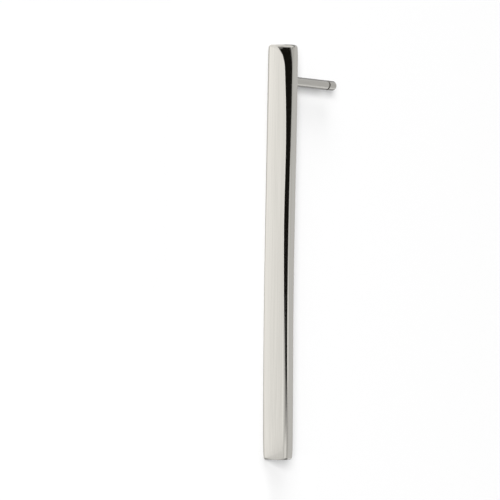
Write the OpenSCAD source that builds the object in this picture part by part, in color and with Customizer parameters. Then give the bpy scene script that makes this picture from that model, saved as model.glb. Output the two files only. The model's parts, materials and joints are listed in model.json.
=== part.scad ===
// A straight bar stud earring in polished stainless steel, lying on one long side of its bar.
// The bar runs along X with its post end at -X, its polished front looks towards -Y,
// and its post stands straight out of the back, towards +Y.

/* [Bar] */
// Length of the bar from end to end
bar_length = 34; // [15:0.5:60]
// Width of the bar across its polished front
bar_width = 2.2; // [1.7:0.05:4]
// Thickness of the bar from its front to its back
bar_thickness = 1.5; // [1.2:0.05:3]
// Rise of the front's gentle crown above its long edges
crown_rise = 0.03; // [0.01:0.01:0.08]
// Rise of the gentle bow of each end above its corners
end_bow = 0.05; // [0.02:0.01:0.1]

/* [Polished edges] */
// Radius of the two long edges of the front
front_edge_radius = 0.28; // [0.1:0.02:0.4]
// Radius of the two long edges of the back
back_edge_radius = 0.15; // [0.05:0.05:0.25]
// Radius of the front's edge across each end
front_end_radius = 0.2; // [0.1:0.05:0.4]
// Radius of the back's edge across each end
back_end_radius = 0.15; // [0.05:0.05:0.3]
// Radius of the four corners of the front's outline
corner_radius = 0.22; // [0.1:0.02:0.4]

/* [Post] */
// Diameter of the round post, a 20 gauge wire
post_diameter = 0.81; // [0.7:0.01:1]
// Length of the post from the back of the bar to its tip
post_length = 11; // [8:0.5:13]
// Distance from the bar's upper end to the middle of the post
post_inset = 2.92; // [1.5:0.01:6]
// Radius of the weld that joins the post to the bar
weld_radius = 0.15; // [0.05:0.05:0.25]
// Radius of the post's rounded tip
tip_radius = 0.26; // [0.2:0.02:0.4]

/* [Groove] */
// Distance from the tip to the middle of the groove that an ear nut clicks into
groove_inset = 1.75; // [1:0.05:2.5]
// Width of the groove along the post
groove_width = 0.32; // [0.16:0.02:0.4]
// Depth of the groove
groove_depth = 0.09; // [0.04:0.01:0.1]

/* [Hidden] */

// Smoothness of every arc and circle
$fn = 96;

// How far a cutting shape reaches past what it cuts
spill = 0.2;

// The box of the whole earring stands over the origin
whole_depth = bar_thickness + post_length;
front_y = -whole_depth / 2;
back_y = front_y + bar_thickness;
upper_x = -bar_length / 2;

// Middle of the post, along the bar and above the surface that the bar lies on
post_x = upper_x + post_inset;
post_z = bar_width / 2;
post_radius = post_diameter / 2;

// The post's rounding can't be wider than the post
tip_rounding = min(tip_radius, post_radius - 0.01);

// Radius of an arc that rises this far over a chord
function arc_radius(chord, rise) = (chord * chord / 4 + rise * rise) / (2 * rise);

// The groove is a round furrow, as wide and as deep as named above
groove_radius = arc_radius(groove_width, groove_depth);

// The post and its weld start this far inside the bar, so that they are one with it
root_depth = bar_thickness / 3;

// What an arc cuts off a square corner at the origin, whose inside lies towards +X and +Y
module corner_waste(radius) {
    difference() {
        translate([-spill, -spill])
            square(radius + spill);
        translate([radius, radius])
            circle(r = radius);
    }
}

// Rectangle from the origin, with its corners at x = 0 and those at x = length rounded apart
module rounded_rectangle(length, width, near_radius, far_radius) {
    difference() {
        square([length, width]);
        corner_waste(near_radius);
        translate([0, width])
            mirror([0, 1])
                corner_waste(near_radius);
        translate([length, 0])
            mirror([1, 0])
                corner_waste(far_radius);
        translate([length, width])
            mirror([1, 0])
                mirror([0, 1])
                    corner_waste(far_radius);
    }
}

// What a bowed edge cuts off a straight one that runs along x = 0 from the origin to y = chord
module bow_waste(chord, rise) {
    radius = arc_radius(chord, rise);
    difference() {
        translate([-spill, -spill])
            square([rise + spill, chord + 2 * spill]);
        translate([radius, chord / 2])
            circle(r = radius);
    }
}

// Section across the bar, with its front on x = 0 and the surface it lies on along y = 0
module bar_section() {
    difference() {
        rounded_rectangle(bar_thickness, bar_width, front_edge_radius, back_edge_radius);
        bow_waste(bar_width, crown_rise);
    }
}

// The bar seen from above as it lies, from x = 0 at its upper end and y = 0 on its front
module bar_side() {
    mirror([1, 0])
        rotate(90)
            rounded_rectangle(bar_thickness, bar_length, front_end_radius, back_end_radius);
}

// The bar seen from its front, from x = 0 at its upper end, with both ends bowed
module bar_face() {
    difference() {
        rounded_rectangle(bar_length, bar_width, corner_radius, corner_radius);
        bow_waste(bar_width, end_bow);
        translate([bar_length, 0])
            mirror([1, 0])
                bow_waste(bar_width, end_bow);
    }
}

// The bar: its section, its side and its face, each drawn through its whole length
module bar() {
    color("#d8d5cf")
        translate([upper_x, front_y, 0])
            intersection() {
                rotate([90, 0, 90])
                    linear_extrude(height = bar_length)
                        bar_section();
                linear_extrude(height = bar_width)
                    bar_side();
                translate([0, bar_thickness, 0])
                    rotate([90, 0, 0])
                        linear_extrude(height = bar_thickness)
                            bar_face();
            }
}

// Half the outline of the post and its weld, turned about x = 0, with the bar's back at y = 0
module post_outline() {
    difference() {
        translate([0, -root_depth])
            square([post_radius + weld_radius, root_depth + post_length]);
        translate([post_radius, weld_radius])
            square([weld_radius + spill, post_length]);
        translate([post_radius + weld_radius, weld_radius])
            circle(r = weld_radius);
        translate([post_radius - groove_depth + groove_radius, post_length - groove_inset])
            circle(r = groove_radius);
        translate([post_radius, post_length])
            mirror([1, 0])
                mirror([0, 1])
                    corner_waste(tip_rounding);
    }
}

// The post: a straight wire with a weld at its root, a groove near its end and a rounded tip
module post() {
    color("#b4b1ab")
        translate([post_x, back_y, post_z])
            rotate([-90, 0, 0])
                rotate_extrude()
                    post_outline();
}

// The post is welded to the bar, so the two are one piece of metal
module bar_with_post() {
    union() {
        bar();
        post();
    }
}

bar_with_post();
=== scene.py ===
"""A polished bar stud earring: its metal, and the studio that it is seen in."""

import json
import math

import bmesh
import bpy
import numpy as np
from mathutils import Matrix, Vector


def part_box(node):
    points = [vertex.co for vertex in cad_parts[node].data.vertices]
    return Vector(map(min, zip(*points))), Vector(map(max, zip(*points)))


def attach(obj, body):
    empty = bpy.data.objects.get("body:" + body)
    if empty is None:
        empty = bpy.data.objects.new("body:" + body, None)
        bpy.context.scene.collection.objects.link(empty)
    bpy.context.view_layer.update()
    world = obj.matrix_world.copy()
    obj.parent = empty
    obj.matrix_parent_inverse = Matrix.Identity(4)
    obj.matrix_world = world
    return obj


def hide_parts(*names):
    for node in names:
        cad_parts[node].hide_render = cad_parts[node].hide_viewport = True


bl_info = {
    "name": "Bar stud earring",
    "version": (1, 0, 0),
    "blender": (4, 5, 0),
    "location": "3D View > Sidebar > Earring",
    "description": "Makes a polished bar stud earring and the studio that it is seen in",
    "category": "Object",
}

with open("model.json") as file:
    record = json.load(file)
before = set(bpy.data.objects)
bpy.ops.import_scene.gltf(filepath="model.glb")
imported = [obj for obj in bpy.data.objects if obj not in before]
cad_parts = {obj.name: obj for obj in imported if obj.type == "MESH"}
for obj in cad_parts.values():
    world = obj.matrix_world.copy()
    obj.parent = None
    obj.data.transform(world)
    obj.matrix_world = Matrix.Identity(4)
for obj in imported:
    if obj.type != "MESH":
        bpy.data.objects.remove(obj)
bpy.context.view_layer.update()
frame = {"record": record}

MM = 0.001
NODE = "bar_with_post"

# The bar and the post as the solid has them
MOUNTS = {mount["name"]: mount for mount in frame["record"]["mounts"]}
LOW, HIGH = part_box(NODE)
BAR_LENGTH = HIGH.x - LOW.x
BAR_WIDTH = HIGH.z - LOW.z
BACK_Y = MOUNTS["back_face"]["pos_m"][1]
BAR_THICKNESS = BACK_Y - LOW.y
POST_X, _, POST_Z = MOUNTS["post"]["pos_m"]
POST_RADIUS = MOUNTS["post"]["dims"]["r_mm"] * MM
POST_LENGTH = HIGH.y - BACK_Y
BAR_MIDDLE = Vector(((LOW.x + HIGH.x) / 2, LOW.y + BAR_THICKNESS / 2, LOW.z + BAR_WIDTH / 2))


def linear_colour(text):
    """An sRGB hex colour as linear red, green and blue."""
    shares = [int(text[i : i + 2], 16) / 255 for i in (1, 3, 5)]
    return [s / 12.92 if s <= 0.04045 else ((s + 0.055) / 1.055) ** 2.4 for s in shares]


def length_prop(name, description, default, most):
    """A length, given here in millimetres and kept in metres."""
    return bpy.props.FloatProperty(
        name=name,
        description=description,
        default=default * MM,
        min=0.0,
        max=most * MM,
        unit="LENGTH",
        precision=5,
    )


def angle_prop(name, description, degrees):
    """An angle, given here in degrees."""
    return bpy.props.FloatProperty(
        name=name,
        description=description,
        default=math.radians(degrees),
        subtype="ANGLE",
        unit="ROTATION",
    )


def colour_prop(name, description, text):
    """A colour, given here as sRGB hex."""
    return bpy.props.FloatVectorProperty(
        name=name,
        description=description,
        default=linear_colour(text),
        subtype="COLOR",
        min=0.0,
        max=1.0,
    )


def share_prop(name, description, default):
    """A plain number from 0 to 1."""
    return bpy.props.FloatProperty(
        name=name, description=description, default=default, min=0.0, max=1.0
    )


class EarringBar(bpy.types.PropertyGroup):
    """The bar's polished shape."""

    crown: length_prop("Crown", "Rise of the front's crown above its long edges", 0.03, 0.2)
    foot_bow: length_prop("Foot bow", "Rise of the foot's bow above its corners", 0.05, 0.2)
    roll_head: length_prop("Roll at the head", "Radius of the rolled edge by the post", 0.93, 1.1)
    roll_middle: length_prop("Roll in the middle", "Radius of that edge half-way", 0.48, 1)
    roll_foot: length_prop("Roll at the foot", "Radius of that edge towards the foot", 0.4, 1)
    roll_waver: length_prop("Roll waver", "How much its radius wavers in between", 0.036, 0.1)
    lower_edge: length_prop("Lower edge", "Radius of the front edge on the floor", 0.2, 0.4)
    back_edge: length_prop("Back edges", "Radius of the long back edges", 0.15, 0.4)
    head_edge: length_prop("Head edge", "Radius of the edges round the head", 0.25, 0.4)
    foot_edge: length_prop("Foot edge", "Radius of the edges round the foot", 0.16, 0.4)
    head_taper: length_prop("Head taper", "What polishing took off round the head", 0.07, 0.2)
    head_reach: length_prop("Head reach", "Length over which that taper fades out", 0.5, 3)
    foot_taper: length_prop("Foot taper", "What polishing took off round the foot", 0.08, 0.2)
    foot_reach: length_prop("Foot reach", "Length over which that taper fades out", 0.7, 3)
    bend_back: length_prop("Bend back", "How far the ends bend back from the middle", 0.22, 0.3)
    waist: length_prop("Waist", "How much narrower the bar is about its middle", 0.03, 0.1)
    ground_back: length_prop("Ground back", "What polishing took off the back", 0.08, 0.2)
    corner_reach: length_prop("Corner reach", "Width of the worn corner at the head", 1.75, 3)
    corner_fade: length_prop("Corner fade", "Length over which that corner fades out", 1.5, 5)
    corner_blend: length_prop("Corner blend", "Width over which the front turns into it", 0.2, 1)
    corner_angle: angle_prop("Corner angle", "How far the front has turned in that corner", 13)


class EarringPost(bpy.types.PropertyGroup):
    """The post's shape."""

    weld: length_prop("Weld", "Radius of the weld round the post's root", 0.15, 0.3)
    groove_inset: length_prop("Groove inset", "From the tip to the groove's middle", 1.75, 3)
    groove_width: length_prop("Groove width", "Width of the groove", 0.32, 0.5)
    groove_depth: length_prop("Groove depth", "Depth of the groove", 0.09, 0.2)
    tip: length_prop("Tip", "Radius of the rounded tip", 0.26, 0.4)


class EarringSteel(bpy.types.PropertyGroup):
    """The metal's finish."""

    colour: colour_prop("Colour", "Colour of a reflection in the polished steel", "#dcd9d2")
    roughness: share_prop("Roughness", "Roughness of the buffed faces", 0.09)
    wire_colour: colour_prop("Wire colour", "Colour of a reflection in the post", "#cac7c0")
    wire_roughness: share_prop("Wire roughness", "Roughness of the post", 0.14)
    # The groove's colour is darkened: painted shade in the groove
    shaded_groove_colour: colour_prop("Groove colour", "Colour of a reflection in the groove", "#807c76")
    groove_roughness: share_prop("Groove roughness", "Roughness of the groove", 0.35)
    line_spacing: length_prop("Line spacing", "Distance between polishing lines", 0.1, 1)


class EarringStudio(bpy.types.PropertyGroup):
    """The floor and the camera."""

    floor: colour_prop("Floor", "Colour of the floor", "#f4f4f4")
    camera_distance: length_prop("Camera distance", "From the camera to the bar", 350, 2000)
    view_angle: angle_prop("View angle", "Height of the camera, seen from the bar", 21.96)
    camera_roll: angle_prop("Camera roll", "How far the bar leans clockwise in the picture", 0.74)


def arc(centre, radius, start, end, count):
    """Points along an arc in a plane, with its angles in degrees from the first axis."""
    turns = np.radians(np.linspace(start, end, count))
    return np.stack([centre[0] + radius * np.cos(turns), centre[1] + radius * np.sin(turns)], axis=1)


def eased(share):
    """0 below 0, 1 above 1 and a smooth step between."""
    share = np.clip(share, 0, 1)
    return share * share * (3 - 2 * share)


def part_way(share, start, end):
    """How far share has come from start to end, as a number from 0 to 1."""
    return min(max((share - start) / (end - start), 0), 1)


# How many steps the mesh has across the bar, along it and over its ends
FRONT_STEPS = 64
SIDE_STEPS = 14
ARC_STEPS = 12
LENGTH_STEPS = 240
CAP_RINGS = 6

# How many steps it has round the post and over its weld, groove and tip
ROUND_STEPS = 64
WELD_STEPS = 12
GROOVE_STEPS = 9
TIP_STEPS = 14

# No edge of the bar is drawn sharper than this
THINNEST_ARC = 0.012 * MM

# Over these shares of the bar's length the rolled edge narrows, from the head and towards the foot
HEAD_SHARE = 0.09
FOOT_START = 0.35
FOOT_END = 0.6

# Between these shares of the bar's length its radius wavers once, first narrower and then wider
WAVER_START = 0.1
WAVER_END = 0.6

# The front's crown and worn corner fade out over this share of the bar's thickness
FRONT_SHARE = 0.6

# The foot's bow fades out over this length
BOW_REACH = 1 * MM

# This power moves the deepest point of the bend from the bar's middle towards its foot
BEND_SHAPE = 1.45

# Shares of the bar's length where its waist starts and ends
WAIST_START = 0.25
WAIST_END = 0.8


def bar_outline(bar, along, inset):
    """The bar's section drawn in by inset, as depth behind the front and height above the floor."""
    share = along / BAR_LENGTH
    deep, high = BAR_THICKNESS - inset - bar.ground_back, BAR_WIDTH - inset
    rolled = bar.roll_middle + (bar.roll_head - bar.roll_middle) * math.exp(-share / HEAD_SHARE)
    rolled += (bar.roll_foot - bar.roll_middle) * eased(part_way(share, FOOT_START, FOOT_END))
    rolled -= bar.roll_waver * math.sin(2 * math.pi * part_way(share, WAVER_START, WAVER_END))
    lower, upper, back = (max(r - inset, THINNEST_ARC) for r in (bar.lower_edge, rolled, bar.back_edge))
    corners = [
        arc((inset + lower, inset + lower), lower, 270, 180, ARC_STEPS),
        arc((inset + upper, high - upper), upper, 180, 90, ARC_STEPS),
        arc((deep - back, high - back), back, 90, 0, ARC_STEPS),
        arc((deep - back, inset + back), back, 0, -90, ARC_STEPS),
    ]
    steps = (FRONT_STEPS, SIDE_STEPS, SIDE_STEPS, SIDE_STEPS)
    points = []
    for here, after, count in zip(corners, corners[1:] + corners[:1], steps):
        points += [here, np.linspace(here[-1], after[0], count + 1)[1:-1]]
    return np.concatenate(points)


def corner_drop(bar, along, height):
    """How far the front falls back in its worn corner, by distance from the head and height."""
    reach = bar.corner_reach * np.exp(-along / bar.corner_fade)
    blend = bar.corner_blend
    inside = np.clip(reach - np.maximum(BAR_WIDTH - height, bar.roll_middle), 0, None)
    fall = np.where(inside < blend, inside**2 / (2 * blend), inside - blend / 2)
    return math.tan(bar.corner_angle) * fall


def bar_ring(bar, along, inset, scale=1.0):
    """One ring of the bar's skin, at a distance from its head end."""
    inset = inset + bar.head_taper * math.exp(-along / bar.head_reach)
    inset += bar.foot_taper * math.exp((along - BAR_LENGTH) / bar.foot_reach)
    outline = bar_outline(bar, along, inset)
    middle = np.array([BAR_THICKNESS, BAR_WIDTH]) / 2
    depth, height = (middle + (outline - middle) * scale).T
    share = along / BAR_LENGTH
    across = 2 * height / BAR_WIDTH - 1
    front = eased(1 - depth / (BAR_THICKNESS * FRONT_SHARE))
    x = along - bar.foot_bow * across**2 * eased(1 - (BAR_LENGTH - along) / BOW_REACH)
    bend = 1 - math.sin(math.pi * share**BEND_SHAPE)
    y = depth + front * (bar.crown * across**2 + corner_drop(bar, x, height)) + bar.bend_back * bend
    waist = bar.waist * math.sin(math.pi * part_way(share, WAIST_START, WAIST_END))
    z = height * (1 - waist / BAR_WIDTH)
    return np.stack([LOW.x + x, LOW.y + y, LOW.z + z], axis=1)


def bar_rings(bar):
    """Every ring of the bar's skin, from the middle of one end to the middle of the other."""
    head, foot = bar.head_edge, bar.foot_edge
    turns = np.radians(np.linspace(0, 90, ARC_STEPS))
    scales = [(i + 1) / (CAP_RINGS + 1) for i in range(CAP_RINGS)]
    rings = [bar_ring(bar, 0.0, head, s) for s in scales]
    rings += [bar_ring(bar, head * (1 - math.cos(t)), head * (1 - math.sin(t))) for t in turns]
    rings += [bar_ring(bar, x, 0.0) for x in np.linspace(head, BAR_LENGTH - foot, LENGTH_STEPS)[1:-1]]
    for t in turns[::-1]:
        rings.append(bar_ring(bar, BAR_LENGTH - foot * (1 - math.cos(t)), foot * (1 - math.sin(t))))
    rings += [bar_ring(bar, BAR_LENGTH, foot, s) for s in reversed(scales)]
    return rings


def post_outline(post):
    """Half the outline of the post and its weld, as radius and height above the bar's back."""
    root_depth = BAR_THICKNESS / 3
    root = POST_RADIUS + post.weld
    # The weld's arc starts this far above the bar's nominal back
    skirt = 0.01 * MM
    # The groove is an arc of this radius, and half of it spans this many degrees
    groove = (post.groove_width**2 / 4 + post.groove_depth**2) / (2 * post.groove_depth)
    half = math.degrees(math.asin(post.groove_width / 2 / groove))
    furrow = (POST_RADIUS - post.groove_depth + groove, POST_LENGTH - post.groove_inset)
    tip = (POST_RADIUS - post.tip, POST_LENGTH - post.tip)
    return np.concatenate(
        [
            [(root, -root_depth)],
            arc((root, post.weld + skirt), post.weld, 270, 180, WELD_STEPS),
            arc(furrow, groove, 180 + half, 180 - half, GROOVE_STEPS),
            arc(tip, post.tip, 0, 90, TIP_STEPS),
        ]
    )


def post_rings(post):
    """Every ring of the post's skin, from inside the bar to its tip."""
    turns = np.linspace(0, 2 * math.pi, ROUND_STEPS, endpoint=False)
    rings = []
    for radius, rise in post_outline(post):
        x = POST_X + radius * np.cos(turns)
        y = np.full_like(turns, BACK_Y + rise)
        z = POST_Z + radius * np.sin(turns)
        rings.append(np.stack([x, y, z], axis=1))
    return rings


def skin(name, rings):
    """A closed mesh through rings of as many points each, with a fan over each end."""
    mesh = bmesh.new()
    loops = [[mesh.verts.new(p) for p in ring] for ring in rings]
    count = len(loops[0])
    for here, after in zip(loops, loops[1:]):
        for i in range(count):
            j = (i + 1) % count
            mesh.faces.new((here[i], here[j], after[j], after[i]))
    for loop in (loops[0], loops[-1]):
        hub = mesh.verts.new(sum((v.co for v in loop), Vector()) / count)
        for i in range(count):
            mesh.faces.new((loop[i], loop[(i + 1) % count], hub))
    bmesh.ops.recalc_face_normals(mesh, faces=mesh.faces)
    data = bpy.data.meshes.new(name)
    mesh.to_mesh(data)
    mesh.free()
    made = bpy.data.objects.new(name, data)
    bpy.context.collection.objects.link(made)
    return made


def add_node(tree, kind, settings=(), **links):
    """A node of this kind, with its attributes and inputs set and its inputs linked."""
    node = tree.nodes.new(kind)
    for name, value in dict(settings).items():
        if hasattr(node, name):
            setattr(node, name, value)
        else:
            node.inputs[name.replace("_", " ")].default_value = value
    for name, output in links.items():
        tree.links.new(output, node.inputs[name.replace("_", " ")])
    return node


def new_material(name):
    """A new material and its tree, which is empty."""
    made = bpy.data.materials.new(name)
    made.use_nodes = True
    made.node_tree.nodes.clear()
    return made, made.node_tree


# Where the lines' noise is cut along its fourth axis, which picks their pattern
LINE_PATTERN = 3.0

# Nearly all of the noise lies between these values
NOISE_LOW = 0.3
NOISE_HIGH = 0.7


def lined(tree, cell):
    """Noise from 0 to 1, drawn out into lines: its cells are this many metres along X, Y and Z."""
    place = add_node(tree, "ShaderNodeTexCoord")
    drawn_out = add_node(
        tree, "ShaderNodeMapping", {"Scale": [1 / c for c in cell]}, Vector=place.outputs["Object"]
    )
    noise = add_node(
        tree,
        "ShaderNodeTexNoise",
        {"noise_dimensions": "4D", "W": LINE_PATTERN, "Scale": 1.0, "Detail": 3.0, "Roughness": 0.6},
        Vector=drawn_out.outputs["Vector"],
    )
    return noise.outputs["Fac"]


def lined_metal(name, cell, colour, tones, roughness, dulling, depth):
    """Bare metal with lines, whose cells are in metres.

    Tones and dulling are the least and the most that its colour and its roughness are multiplied by along
    the lines, and depth is how far they move its surface, in metres.
    """
    material, tree = new_material(name)
    lines = lined(tree, cell)
    share = add_node(
        tree, "ShaderNodeMapRange", {"From Min": NOISE_LOW, "From Max": NOISE_HIGH}, Value=lines
    )
    tone = add_node(tree, "ShaderNodeValToRGB", Fac=share.outputs["Result"])
    for element, tone_share in zip(tone.color_ramp.elements, tones):
        element.color = (*(c * tone_share for c in colour), 1)
    dull = add_node(
        tree,
        "ShaderNodeMapRange",
        {"To Min": roughness * dulling[0], "To Max": roughness * dulling[1]},
        Value=share.outputs["Result"],
    )
    relief = add_node(tree, "ShaderNodeBump", {"Strength": 1.0, "Distance": depth}, Height=lines)
    surface = add_node(
        tree,
        "ShaderNodeBsdfPrincipled",
        {"Metallic": 1.0},
        Base_Color=tone.outputs["Color"],
        Roughness=dull.outputs["Result"],
        Normal=relief.outputs["Normal"],
    )
    add_node(tree, "ShaderNodeOutputMaterial", Surface=surface.outputs["BSDF"])
    return material


def polished_steel(steel):
    """Stainless steel, ground lengthwise and buffed to a mirror.

    It gives the eye clean, warm grey reflections, with a trace of the lines along the bar. Real lines are
    some 0.01 mm apart, too fine to show, so they are drawn at the line spacing.
    """
    return lined_metal(
        "polished_stainless_steel",
        cell=(9 * MM, steel.line_spacing, steel.line_spacing),
        colour=steel.colour,
        tones=(0.94, 1.02),
        roughness=steel.roughness,
        dulling=(0.85, 1.2),
        depth=0.0005 * MM,
    )


def drawn_wire(steel):
    """Stainless steel wire as the drawing die left it.

    It gives the eye a duller, darker grey than the bar, with die lines along the wire. They are 0.02 mm
    apart on real wire, too fine to show, so they are drawn at the line spacing.
    """
    return lined_metal(
        "drawn_stainless_wire",
        cell=(steel.line_spacing, 3 * MM, steel.line_spacing),
        colour=steel.wire_colour,
        tones=(0.9, 1.03),
        roughness=steel.wire_roughness,
        dulling=(0.8, 1.3),
        depth=0.002 * MM,
    )


def groove_with_painted_shade(steel):
    """Stainless steel as the turning tool left it.

    Its colour is darkened as painted shade in the groove, which gives the eye a dark, dull line round the
    post; its roughness and its turning marks, 0.03 mm apart, are the tool's.
    """
    return lined_metal(
        "turned_stainless_groove",
        cell=(0.5 * MM, 0.03 * MM, 0.5 * MM),
        colour=steel.shaded_groove_colour,
        tones=(0.85, 1.15),
        roughness=steel.groove_roughness,
        dulling=(0.85, 1.15),
        depth=0.002 * MM,
    )


def matte_board(colour):
    """White board. It gives the eye a plain pale ground."""
    material, tree = new_material("matte_white_board")
    surface = add_node(tree, "ShaderNodeBsdfPrincipled", {"Base Color": (*colour, 1), "Roughness": 0.9})
    add_node(tree, "ShaderNodeOutputMaterial", Surface=surface.outputs["BSDF"])
    return material


def grey(brightness):
    """A brightness as an even grey."""
    return (brightness, brightness, brightness, 1)


def graded(tree, position, stops):
    """A brightness that follows stops of distance in millimetres and brightness along one axis."""
    (start, first), *inner, (end, last) = stops
    share = add_node(
        tree, "ShaderNodeMapRange", {"From Min": start * MM, "From Max": end * MM}, Value=position
    )
    ramp = add_node(tree, "ShaderNodeValToRGB", Fac=share.outputs["Result"])
    elements = ramp.color_ramp.elements
    elements[0].color = grey(first)
    elements[1].color = grey(last)
    for distance, brightness in inner:
        elements.new((distance - start) / (end - start)).color = grey(brightness)
    return ramp.outputs["Color"]


def glow(name, shine, tint):
    """The shine of a board that only the metal reflects: even, or by stops along one or two axes."""
    material, tree = new_material(name)
    light = add_node(tree, "ShaderNodeEmission", {"Color": (*linear_colour(tint), 1)})
    strength = light.inputs["Strength"]
    if isinstance(shine, float):
        strength.default_value = shine
    else:
        place = add_node(tree, "ShaderNodeTexCoord")
        axes = add_node(tree, "ShaderNodeSeparateXYZ", Vector=place.outputs["Object"])
        ramps = [graded(tree, axes.outputs[axis], stops) for axis, stops in shine.items()]
        if len(ramps) == 2:
            both = add_node(tree, "ShaderNodeMath", {"operation": "MULTIPLY"})
            for ramp, slot in zip(ramps, both.inputs):
                tree.links.new(ramp, slot)
            ramps = [both.outputs[0]]
        tree.links.new(ramps[0], strength)
    add_node(tree, "ShaderNodeOutputMaterial", Surface=light.outputs["Emission"])
    return material


def look_at(obj, target, up):
    """Turns obj so that it looks at target, with up as the top of its picture."""
    back = (obj.location - target).normalized()
    right = Vector(up).cross(back).normalized()
    turned = Matrix((right, back.cross(right), back)).transposed().to_4x4()
    obj.matrix_world = Matrix.Translation(obj.location) @ turned


def reflector(name, corners, shine, tint="#ffffff"):
    """A flat board that only the metal sees, with its corners in millimetres."""
    data = bpy.data.meshes.new(name)
    data.from_pydata([Vector(c) * MM for c in corners], [], [tuple(range(len(corners)))])
    board = bpy.data.objects.new(name, data)
    bpy.context.collection.objects.link(board)
    board.data.materials.append(glow(name, shine, tint))
    board.visible_camera = board.visible_shadow = False
    board.visible_diffuse = board.visible_transmission = False


def lying(left, right, near, far, height):
    """The corners of a level board, from left to right along X and from near to far along Y."""
    return [(left, near, height), (right, near, height), (right, far, height), (left, far, height)]


def upright(left, right, bottom, top, y):
    """The corners of an upright board along the bar, from left to right along X."""
    return [(left, y, bottom), (right, y, bottom), (right, y, top), (left, y, top)]


# From each light to the bar, in metres, so far away that they light the floor evenly
LIGHT_DISTANCE = 6.0


def softbox(name, turn, rise, size, power):
    """A soft light that looks at the bar and isn't reflected.

    It is turned from the front towards the bar's head and raised, both in degrees.
    """
    data = bpy.data.lights.new(name, "AREA")
    data.shape = "RECTANGLE"
    data.size, data.size_y = size
    data.energy = power
    light = bpy.data.objects.new(name, data)
    bpy.context.collection.objects.link(light)
    turn, rise = math.radians(turn), math.radians(rise)
    toward = Vector((-math.sin(turn) * math.cos(rise), -math.cos(turn) * math.cos(rise), math.sin(rise)))
    light.location = BAR_MIDDLE + toward * LIGHT_DISTANCE
    look_at(light, BAR_MIDDLE, (0, 0, 1))
    light.visible_camera = light.visible_glossy = False


# Faces that meet at more than this many degrees keep a sharp edge
SHARP_ANGLE = 28

# Places of the three finishes in the mesh's list of materials
STEEL_FINISH = 0
WIRE_FINISH = 1
# The groove's finish has its colour darkened as painted shade
SHADED_GROOVE_FINISH = 2

# A face is the groove's if its middle is within this share of the groove's width from its middle
GROOVE_SHARE = 0.49


def fuse(bar, post, context):
    """Makes the bar and the post one closed mesh, and removes the post."""
    weld = bar.modifiers.new("weld", "BOOLEAN")
    weld.operation = "UNION"
    weld.solver = "EXACT"
    weld.object = post
    bpy.context.view_layer.update()
    welded = bpy.data.meshes.new_from_object(bar.evaluated_get(context.evaluated_depsgraph_get()))
    bar.modifiers.clear()
    bar.data = welded
    bpy.data.objects.remove(post)


def finish_faces(mesh, steel, post):
    """Gives each face the finish of the bar, the wire or the groove, by where it lies. The groove's
    finish is darkened with painted shade.
    """
    mesh.materials.clear()
    for material in (polished_steel(steel), drawn_wire(steel), groove_with_painted_shade(steel)):
        mesh.materials.append(material)
    wire_start = BACK_Y + post.weld / 2
    root = POST_RADIUS + post.weld
    groove = HIGH.y - post.groove_inset
    for face in mesh.polygons:
        off_axis = math.hypot(face.center.x - POST_X, face.center.z - POST_Z)
        if abs(face.center.y - groove) < post.groove_width * GROOVE_SHARE:
            face.material_index = SHADED_GROOVE_FINISH
        elif face.center.y > wire_start and off_axis < root:
            face.material_index = WIRE_FINISH
        else:
            face.material_index = STEEL_FINISH


class EARRING_OT_bar_and_post(bpy.types.Operator):
    """Make the bar and the post that is welded to it, and give them their finish"""

    bl_idname = "earring.bar_and_post"
    bl_label = "Bar and post"

    def execute(self, context):
        scene = context.scene
        bar = skin("bar_and_post", bar_rings(scene.earring_bar))
        post = skin("post", post_rings(scene.earring_post))
        fuse(bar, post, context)
        bar.data.shade_smooth()
        bar.data.set_sharp_from_angle(angle=math.radians(SHARP_ANGLE))
        finish_faces(bar.data, scene.earring_steel, scene.earring_post)
        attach(bar, "root")
        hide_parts(NODE)
        return {"FINISHED"}


# Half the width of the floor, in metres
FLOOR_HALF = 1.5

# Brightness of the light that comes from all round
SURROUNDING = 0.2


def white_floor(studio):
    """The plain pale floor that the bar lies on."""
    half = FLOOR_HALF
    corners = [(-half, -half, 0), (half, -half, 0), (half, half, 0), (-half, half, 0)]
    data = bpy.data.meshes.new("floor")
    data.from_pydata(corners, [], [(0, 1, 2, 3)])
    floor = bpy.data.objects.new("floor", data)
    bpy.context.collection.objects.link(floor)
    floor.data.materials.append(matte_board(studio.floor))


def soft_light(scene):
    """An even light from all round and three soft ones, with sizes in metres and powers in watts."""
    world = bpy.data.worlds.new("studio")
    world.use_nodes = True
    world.node_tree.nodes["Background"].inputs["Color"].default_value = grey(SURROUNDING)
    scene.world = world
    softbox("key", turn=6, rise=22.5, size=(1.8, 1.1), power=612)
    softbox("side", turn=50, rise=17, size=(5.6, 2.0), power=220)
    softbox("overhead", turn=130, rise=66, size=(5.2, 5.2), power=56)


# The boards make a room round the bar that only the metal sees. Their places are in millimetres and
# their brightness is a share of white. These are the bar's two ends and its front:
HEAD = LOW.x / MM
FOOT = HIGH.x / MM
BAR_FRONT = LOW.y / MM

# The room's front, with what stands right behind it, and its back
FRONT = -100
BEHIND_FRONT = FRONT - 1
BACK = 180

# The room's side beyond the bar's head, and how far boards reach beyond its foot
HEAD_SIDE = -112
BOARD_REACH = 110
FRONT_REACH = 120

# The room's ceiling, with what hangs below and above it
CEILING = 200
FOOT_CEILING = CEILING - 0.8
FLAG_CEILING = CEILING - 1
ROOM_TOP = CEILING + 1

# The flag's edges near the floor, towards the bar's head and its foot
FLAG_HEAD = -101.5
FLAG_FOOT = 4

# A flag is black cloth, which still shines a little
FLAG_SHINE = 0.008
FLAG_TINT = "#fff4e0"

# Heights of what lies on the floor, from the lowest up
SHEET_LEVEL = 0.01
CONTACT_LEVEL = 0.012
END_SHEET_LEVEL = 0.02
FOOT_CONTACT_LEVEL = 0.03
BOARD_LEVEL = 0.05

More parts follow.
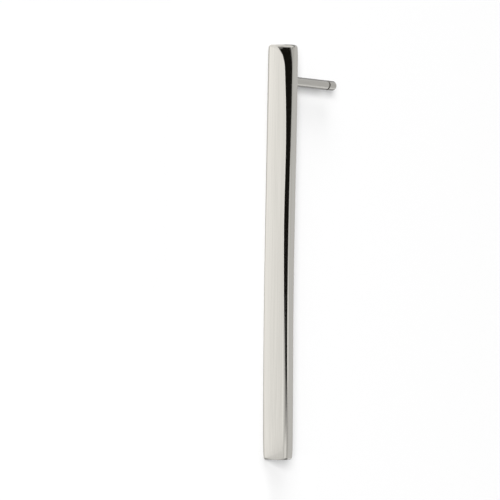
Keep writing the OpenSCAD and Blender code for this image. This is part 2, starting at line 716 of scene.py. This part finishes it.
# Where the sheets on the floor end: before the bar, behind it, and to both sides
SHEET_FRONT = -26
SHEET_BACK = 6
SHEET_REACH = 60

# How far the strip of painted contact shade along the bar reaches under it
CONTACT_WIDTH = 1.2

# Places along X and the brightness there, by which the highest boards get paler away from the flag
HIGH_SHADE = [(22, 0.02), (25.5, 0.12), (29, 0.5), (35.5, 0.8)]


def black_flag():
    """A black flag before the metal, from the floor up and over the camera, in four parts."""
    flag = [
        (-76, 0), (FLAG_FOOT, 0), (8, 45), (11, 70), (14.5, 95), (19, 125), (22, 160), (24, CEILING),
        (-101, CEILING), (-99.5, 160), (-98.5, 131), (-110, 101), (-111, 72),
        (FLAG_HEAD, 50), (FLAG_HEAD, 14), (-79, 9),
    ]
    roof = [
        (-101, FRONT), (25, FRONT), (23, -50), (20.5, -15), (15, -20), (12, -30), (8, -42), (-10, -42),
        (-24, 10), (-33.6, 8), (-39, 3), (-54, -11), (-74, -58), (-93, -88),
    ]
    corner = [(FRONT, 66), (FRONT + 8, 78), (FRONT + 8, 102), (FRONT, 102)]
    foot = lying(left=FLAG_HEAD, right=FLAG_FOOT, near=FRONT, far=-22, height=BOARD_LEVEL)
    reflector("front_flag", [(x, FRONT, z) for x, z in flag], FLAG_SHINE, FLAG_TINT)
    reflector("front_flag_corner", [(-111.5, y, z) for y, z in corner], FLAG_SHINE, FLAG_TINT)
    reflector("front_flag_roof", [(x, y, FLAG_CEILING) for x, y in roof], FLAG_SHINE, FLAG_TINT)
    reflector("front_flag_foot", foot, FLAG_SHINE, FLAG_TINT)


def front_boards():
    """A grey board behind the flag towards the head, and pale ones beside it, darker close to it."""
    reflector("front_board_head", upright(-130, -96, bottom=98, top=ROOM_TOP, y=BEHIND_FRONT), 0.5)
    low = [(FLAG_FOOT, 0.01), (9, 0.4), (12, 0.66), (17, 0.8), (21, 0.8), (25.5, 0.7), (30, 0.67)]
    middle = [
        (9, 0.012), (11, 0.025), (14.3, 0.08), (18.2, 0.24), (21.7, 0.48), (25.3, 0.52), (31.4, 0.98),
    ]
    high = [(14, 0.01), *HIGH_SHADE]
    rows = {"low": (0, 50, low), "middle": (50, 125, middle), "high": (125, CEILING, high)}
    for name, (bottom, top, stops) in rows.items():
        corners = upright(0, FRONT_REACH, bottom=bottom, top=top, y=BEHIND_FRONT)
        reflector(f"front_board_{name}", corners, {"X": stops})
    reflector(
        "front_board_foot",
        lying(FLAG_FOOT, FRONT_REACH, near=FRONT, far=SHEET_FRONT, height=BOARD_LEVEL),
        {"X": [(FLAG_FOOT, 0.2), (8, 0.8), (20, 0.8)]},
    )


def floor_sheets():
    """Sheets on the floor that only the metal sees, which paint the floor's light and shade into its
    reflections.
    """
    # The floor before the bar with painted light and shade: greyer a little way out and towards the foot,
    # palest farthest out
    reflector(
        "front_sheet",
        lying(-SHEET_REACH, SHEET_REACH, near=BAR_FRONT, far=SHEET_FRONT, height=SHEET_LEVEL),
        {
            "Y": [
                (BAR_FRONT, 1.155), (-6.9, 1.13), (-7.9, 1.055), (-10.3, 1.015), (-12, 0.965),
                (-15, 1.23), (SHEET_FRONT, 1.33),
            ],
            "X": [(HEAD, 1.0), (15.4, 0.94), (16.6, 0.91), (FOOT, 0.86)],
        },
    )
    # A grey strip along the bar's lower edge: painted contact shade in the metal's reflection
    close = BAR_FRONT + CONTACT_WIDTH
    reflector("contact", lying(HEAD, FOOT, near=BAR_FRONT, far=close, height=CONTACT_LEVEL), 0.72)
    # The floor beyond the foot, greyer farther from it: painted shade in the metal's reflection
    reflector(
        "foot_sheet",
        lying(FOOT, SHEET_REACH, near=SHEET_FRONT, far=SHEET_BACK, height=END_SHEET_LEVEL),
        {"X": [(FOOT, 0.95), (17.2, 0.82), (17.8, 0.77), (20, 0.77), (22, 0.55), (24, 0.42)]},
    )
    # A darker patch just beyond the foot, across the bar's thickness: a painted shadow in the metal's
    # reflection
    reflector(
        "foot_contact",
        lying(FOOT, 24, near=-6.35, far=-4.5, height=FOOT_CONTACT_LEVEL),
        {"X": [(FOOT, 0.42), (18, 0.45), (18.8, 0.55), (20, 0.56), (21.6, 0.48), (22.5, 0.38)]},
    )
    reflector(
        "head_sheet",
        lying(-SHEET_REACH, HEAD, near=SHEET_FRONT, far=SHEET_BACK, height=END_SHEET_LEVEL),
        {"X": [(-33, 0.7), (-26, 0.88), (-19.5, 0.9), (-18.5, 1.0)]},
    )


def boards_above():
    """A ceiling over the metal, palest over the bar's foot, and a board beyond its head."""
    top = [
        (-BOARD_REACH, FRONT), (BOARD_REACH, FRONT), (BOARD_REACH, 54), (24, 54), (20, 110), (10, 95),
        (0, 54), (-BOARD_REACH, 54),
    ]
    head = [(FRONT, 0), (60, 0), (60, 160), (FRONT, 160)]
    reflector(
        "top_board",
        [(x, y, CEILING) for x, y in top],
        {"X": [(-24, 0.55), (0, 0.8), (8, 0.95), (18, 0.98), (21, 0.8), (26, 0.6)]},
    )
    reflector(
        "top_board_foot",
        lying(20, BOARD_REACH, near=FRONT, far=-45, height=FOOT_CEILING),
        {"X": [(20, 0.01), *HIGH_SHADE]},
    )
    reflector("top_board_edge", lying(21, BOARD_REACH, near=-45, far=45, height=FOOT_CEILING), 0.43)
    reflector(
        "head_board",
        [(HEAD_SIDE, y, z) for y, z in head],
        {"Y": [(-70, 0.7), (-50, 0.8), (-40, 0.9), (-2, 0.9), (3, 0.45)]},
    )


def back_boards():
    """Grey boards at the back, over all, a grey sheet on the floor there that paints shade into the
    post's reflection, and a pale one the post reflects.
    """
    reflector("back_wall", upright(-150, 150, bottom=-1, top=ROOM_TOP, y=BACK), 0.62)
    reflector("back_roof", lying(-BOARD_REACH, BOARD_REACH, near=FRONT, far=BACK, height=ROOM_TOP), 0.62)
    # A grey sheet on the floor behind the bar: painted shade on the floor that the post reflects
    reflector("back_board", lying(-SHEET_REACH, SHEET_REACH, near=-3, far=60, height=BOARD_LEVEL), 0.35)
    reflector("back_light", upright(30, 90, bottom=-5, top=40, y=150), 0.9)


# The picture is this many pixels wide, and a millimetre of the bar takes up so many of them
PICTURE_WIDTH = 500
PIXELS_PER_MM = 12.22

# Width of the camera's sensor, in millimetres
SENSOR_WIDTH = 36

# The picture's middle lies so far to the left of the bar's and above it
AIM_LEFT = 2.42 * MM
AIM_ABOVE = 0.18 * MM


def front_camera(scene, studio):
    """The camera before the bar, turned so that the bar stands upright in its picture."""
    data = bpy.data.cameras.new("camera")
    camera = bpy.data.objects.new("camera", data)
    bpy.context.collection.objects.link(camera)
    toward = Vector((0, -math.cos(studio.view_angle), math.sin(studio.view_angle)))
    right = Vector((0, math.sin(studio.view_angle), math.cos(studio.view_angle)))
    up = Vector((-1, 0, 0))
    roll = studio.camera_roll
    picture_right = right * math.cos(roll) + up * math.sin(roll)
    picture_up = up * math.cos(roll) - right * math.sin(roll)
    aim = BAR_MIDDLE - picture_right * AIM_LEFT + picture_up * AIM_ABOVE
    camera.location = aim + toward * studio.camera_distance
    look_at(camera, aim, picture_up)
    data.sensor_width = SENSOR_WIDTH
    data.lens = SENSOR_WIDTH * PIXELS_PER_MM * (studio.camera_distance / MM) / PICTURE_WIDTH
    data.clip_start = 0.01
    data.clip_end = 10
    scene.camera = camera


class EARRING_OT_studio(bpy.types.Operator):
    """Set up the floor, the lights, the boards that the metal reflects, and the camera"""

    bl_idname = "earring.studio"
    bl_label = "Studio"

    def execute(self, context):
        scene = context.scene
        white_floor(scene.earring_studio)
        soft_light(scene)
        black_flag()
        front_boards()
        floor_sheets()
        boards_above()
        back_boards()
        front_camera(scene, scene.earring_studio)
        scene.view_settings.view_transform = "Standard"
        return {"FINISHED"}


class EARRING_PT_panel(bpy.types.Panel):
    """Lists the steps that make the earring"""

    bl_label = "Earring"
    bl_idname = "EARRING_PT_panel"
    bl_space_type = "VIEW_3D"
    bl_region_type = "UI"
    bl_category = "Earring"

    def draw(self, context):
        for operator in OPERATORS:
            self.layout.operator(operator.bl_idname)
        for name in SETTINGS:
            settings = getattr(context.scene, name)
            box = self.layout.box()
            for prop in settings.__annotations__:
                box.prop(settings, prop)


SETTINGS = {
    "earring_bar": EarringBar,
    "earring_post": EarringPost,
    "earring_steel": EarringSteel,
    "earring_studio": EarringStudio,
}
OPERATORS = (EARRING_OT_bar_and_post, EARRING_OT_studio)


def register():
    for kind in (*SETTINGS.values(), *OPERATORS, EARRING_PT_panel):
        bpy.utils.register_class(kind)
    for name, kind in SETTINGS.items():
        setattr(bpy.types.Scene, name, bpy.props.PointerProperty(type=kind))


def unregister():
    for name in SETTINGS:
        delattr(bpy.types.Scene, name)
    for kind in reversed((*SETTINGS.values(), *OPERATORS, EARRING_PT_panel)):
        bpy.utils.unregister_class(kind)


def main():
    register()
    bpy.ops.earring.bar_and_post()
    bpy.ops.earring.studio()


if __name__ == "__main__":
    main()
